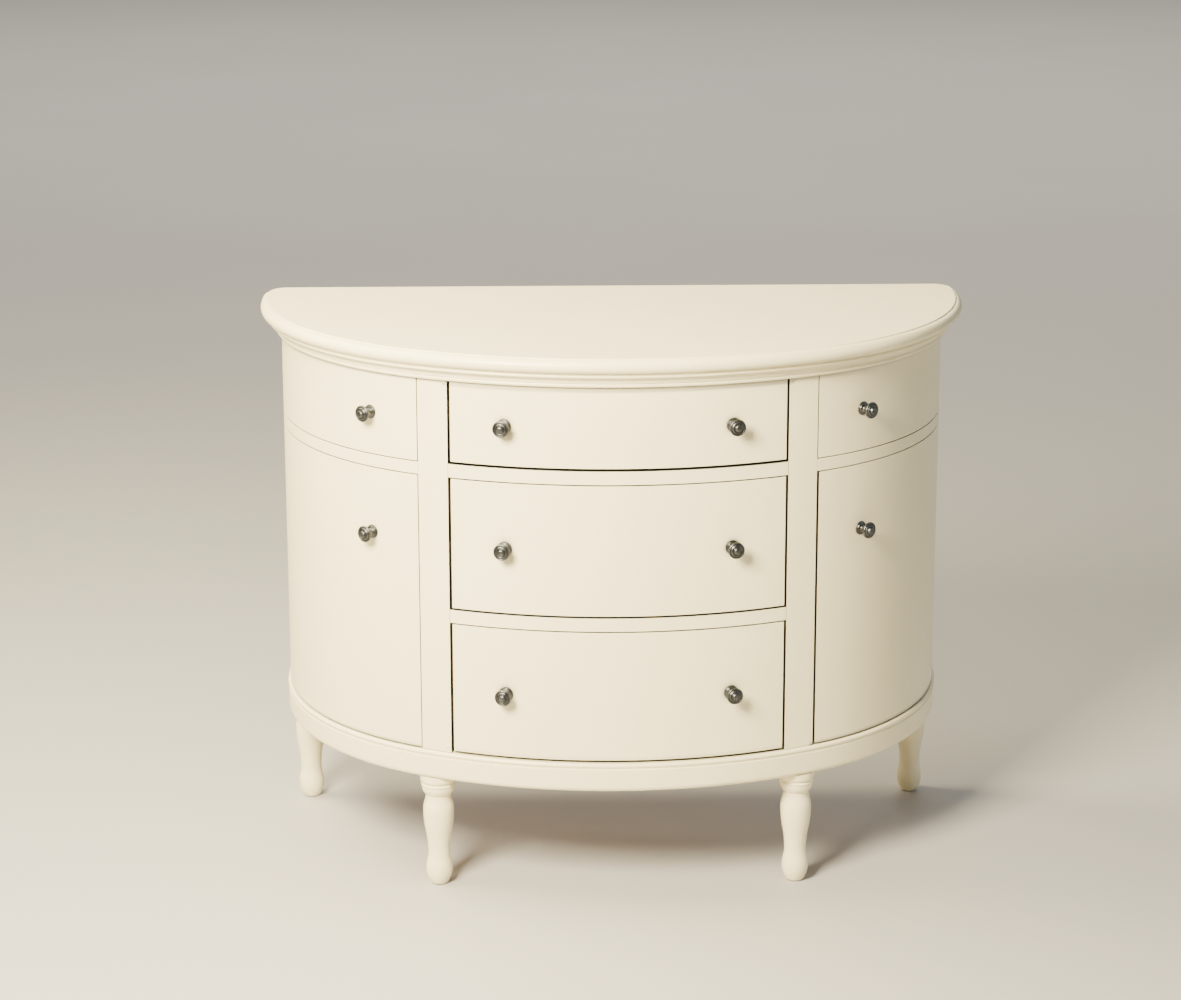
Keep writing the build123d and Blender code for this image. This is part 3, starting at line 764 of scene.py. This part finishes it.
def screw_into(bm, matrix, radius=4.2, rise=1.6, slot=0.5):
    """A domed screw head with a cross recess, standing on the local XY plane."""
    dome = ((1.0, 0.0), (0.98, 0.35), (0.86, 0.72), (0.62, 0.93), (0.40, 1.0))
    count = 24
    rows = [ring(bm, matrix, [radius * share] * count, rise * height) for share, height in dome]
    arms = [0.30 if k % 6 in (0, 1, 5) else 0.12 for k in range(count)]
    rows.append(ring(bm, matrix, [radius * arm for arm in arms], rise - slot))
    for a, b in zip(rows, rows[1:]):
        bridge(bm, a, b)
    bm.faces.new(rows[-1])
    bm.faces.new(list(reversed(rows[0])))


def screws(name, body, places, **sizes):
    bm = bmesh.new()
    for matrix in places:
        screw_into(bm, matrix, **sizes)
    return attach(finish_mesh(name, bm, STEEL, TURNED_SHARP), body)


def build_back():
    """The back board, set a little inside its frame, with screws along its edges."""
    reach = HALF - THICK
    front, rear = REAR_Y - BACK, REAR_Y - 0.5
    outline = [(-reach, front), (reach, front), (reach, rear), (-reach, rear)]
    plate_piece("back_panel_finished", "back_panel", "cabinet", outline, LEG_H, BOARD, BACK_BEVEL, BACK_BOARD)
    spots = []
    edge = 12.0
    for i in range(7):
        x = -reach + edge + (2 * reach - 2 * edge) * i / 6
        spots += [(x, LEG_H + 39.0), (x, BOARD - 9.0)]
    wall = OPEN_X + PARTITION / 2
    for z in (340.0, 480.0, 620.0, 760.0):
        spots += [(-wall, z), (wall, z)]
    turn = Matrix.Rotation(radians(-90), 4, "X")
    places = [Matrix.Translation((x * MM, rear * MM, z * MM)) @ turn for x, z in spots]
    screws("back_screws", "cabinet", places, radius=3.6, rise=0.45, slot=0.3)


def centre_knobs(body, z):
    """The two knobs of a centre drawer, and the screws behind them."""
    turn = asin(KNOB_SPREAD / 2 / BOW_R)
    places = [knob_place(0, BOW_Y, BOW_R, side * turn, z) for side in (-1, 1)]
    turned(body + "_knobs_finished", [body + "_knobs"], body, KNOB_PROFILE, places, PEWTER, 64)
    behind = [knob_place(0, BOW_Y, BOW_R - THICK, side * turn, z, tilt=-90) for side in (-1, 1)]
    screws(body + "_knob_screws", body, behind)


def side_knob(body, side, z):
    """The knob of a side drawer or door, and the screw behind it."""
    turn = asin((JOINT_X + KNOB_INSET - SIDE_X) / SIDE_R)
    place = knob_place(SIDE_X, SIDE_Y, SIDE_R, turn, z, side)
    turned(body + "_knob_finished", [body + "_knob"], body, KNOB_PROFILE, [place], PEWTER, 64)
    screws(body + "_knob_screw", body, [knob_place(SIDE_X, SIDE_Y, SIDE_R - THICK, turn, z, side, tilt=-90)])


def build_fronts():
    heights = {"top": (TOP_DRAWER, CORNICE), "middle": (MIDDLE, UPPER_RAIL), "bottom": (BASE_TOP, LOWER_RAIL)}
    for word, (low, high) in heights.items():
        body = word + "_drawer"
        plate_piece(body + "_front_finished", body + "_front", body, centre_outline(),
                    low + FOOT_GAPS[word], high - SEAM, CARCASS_BEVEL)
        centre_knobs(body, (low + high) / 2)
    for word, side in (("left", -1), ("right", 1)):
        body = word + "_drawer"
        plate_piece(body + "_front_finished", body + "_front", body, side_outline(side),
                    DECK_TOP + SEAM, CORNICE - SEAM, SIDE_BEVEL)
        side_knob(body, side, (TOP_DRAWER + CORNICE) / 2)
        body = word + "_door"
        plate_piece(body + "_finished", body, body, door_outline(side),
                    BASE_TOP + DOOR_FOOT_GAPS[word], UPPER_RAIL - SEAM, SIDE_BEVEL)
        side_knob(body, side, UPPER_RAIL - DOOR_KNOB_DROP)


def dress_frame():
    """Materials for the CAD nodes that stay."""
    plain = {
        "subtop_panel": RAW_ACROSS, "base_panel": RAW_ACROSS,
        "drawer_runners": RAW_WOOD, "side_drawer_guides": RAW_WOOD, "shelf_cleats": RAW_WOOD,
        "leg_blocks": RAW_WOOD, "left_partition": RAW_UPRIGHT, "right_partition": RAW_UPRIGHT,
        "left_shelf": RAW_ACROSS, "right_shelf": RAW_ACROSS, "door_pivot_pins": STEEL,
        "leg_bolts": STEEL, "door_catches": CATCH,
    }
    for word in ("top", "middle", "bottom", "left", "right"):
        plain[word + "_drawer_box"] = DRAWER_WOOD
        plain[word + "_drawer_bottom"] = DRAWER_WOOD_ACROSS
    for word in ("left", "right"):
        plain[word + "_door_bushes"] = BRASS
        plain[word + "_door_strike"] = STEEL
    for name, material in plain.items():
        thing = NODES[name]
        thing.data.materials.clear()
        thing.data.materials.append(material)


build_carcass()
build_back()
build_fronts()
dress_frame()


# Floor, light and camera
def floor_material():
    material, tree, shader = tree_of("pale_floor")
    coords = object_coords(tree)
    cloud = noise(tree, coords, 0.9, 3.0, 0.5)
    colour = ramp(tree, cloud, [(0.3, (0.43, 0.415, 0.395)), (0.7, (0.45, 0.435, 0.415))])
    link(tree, colour, shader.inputs["Base Color"])
    link(tree, spread(tree, noise(tree, coords, 40.0, 4.0, 0.5), 0.55, 0.65), shader.inputs["Roughness"])
    return material


def build_floor():
    bm = bmesh.new()
    reach = 40.0
    corners = ((-reach, -reach), (reach, -reach), (reach, reach), (-reach, reach))
    bm.faces.new([bm.verts.new((x, y, 0.0)) for x, y in corners])
    mesh = bpy.data.meshes.new("floor")
    bm.to_mesh(mesh)
    bm.free()
    new_object("floor", mesh, floor_material())


def area_light(name, place, aim, size, power, colour):
    data = bpy.data.lights.new(name, "AREA")
    data.shape = "RECTANGLE"
    data.size = size[0]
    data.size_y = size[1]
    data.energy = power
    data.color = colour
    lamp = bpy.data.objects.new(name, data)
    bpy.context.scene.collection.objects.link(lamp)
    lamp.location = place
    direction = Vector(aim) - Vector(place)
    lamp.rotation_euler = direction.to_track_quat("-Z", "Y").to_euler()


def build_light():
    area_light("key", (-1.1, -1.85, 2.05), (0, 0, 0.6), (0.9, 0.9), 385.0, (1.0, 0.885, 0.62))
    area_light("fill", (3.6, -0.7, 1.3), (0.3, 0, 0.45), (1.8, 1.8), 24.0, (0.80, 0.93, 1.0))
    area_light("overhead", (-1.9, 0.4, 2.9), (-0.5, 0, 0.9), (1.8, 1.8), 245.0, (1.0, 0.875, 0.54))
    area_light("rear", (0.0, 9.0, 4.2), (0, 8.9, 0.0), (12.0, 8.0), 620.0, (1.0, 0.94, 0.84))
    world = bpy.data.worlds.new("studio")
    world.use_nodes = True
    back = world.node_tree.nodes["Background"]
    back.inputs["Color"].default_value = (0.90, 0.90, 0.88, 1.0)
    back.inputs["Strength"].default_value = 0.24
    bpy.context.scene.world = world


def build_camera():
    """The photograph's view: seen from the front, a little above, with a long lens."""
    data = bpy.data.cameras.new("camera")
    data.sensor_fit = "HORIZONTAL"
    data.sensor_width = 36.0
    data.lens = 93.283
    data.shift_y = -0.06774
    data.clip_end = 200.0
    camera = bpy.data.objects.new("camera", data)
    bpy.context.scene.collection.objects.link(camera)
    turn = Matrix.Rotation(radians(-1.1361), 4, "Z") @ Matrix.Rotation(radians(75.5617), 4, "X")
    lean = Matrix.Rotation(radians(-0.0965), 4, "Z")
    camera.matrix_world = Matrix.Translation((-0.1368, -4.8701, 2.0029)) @ turn @ lean
    bpy.context.scene.camera = camera


build_floor()
build_light()
build_camera()
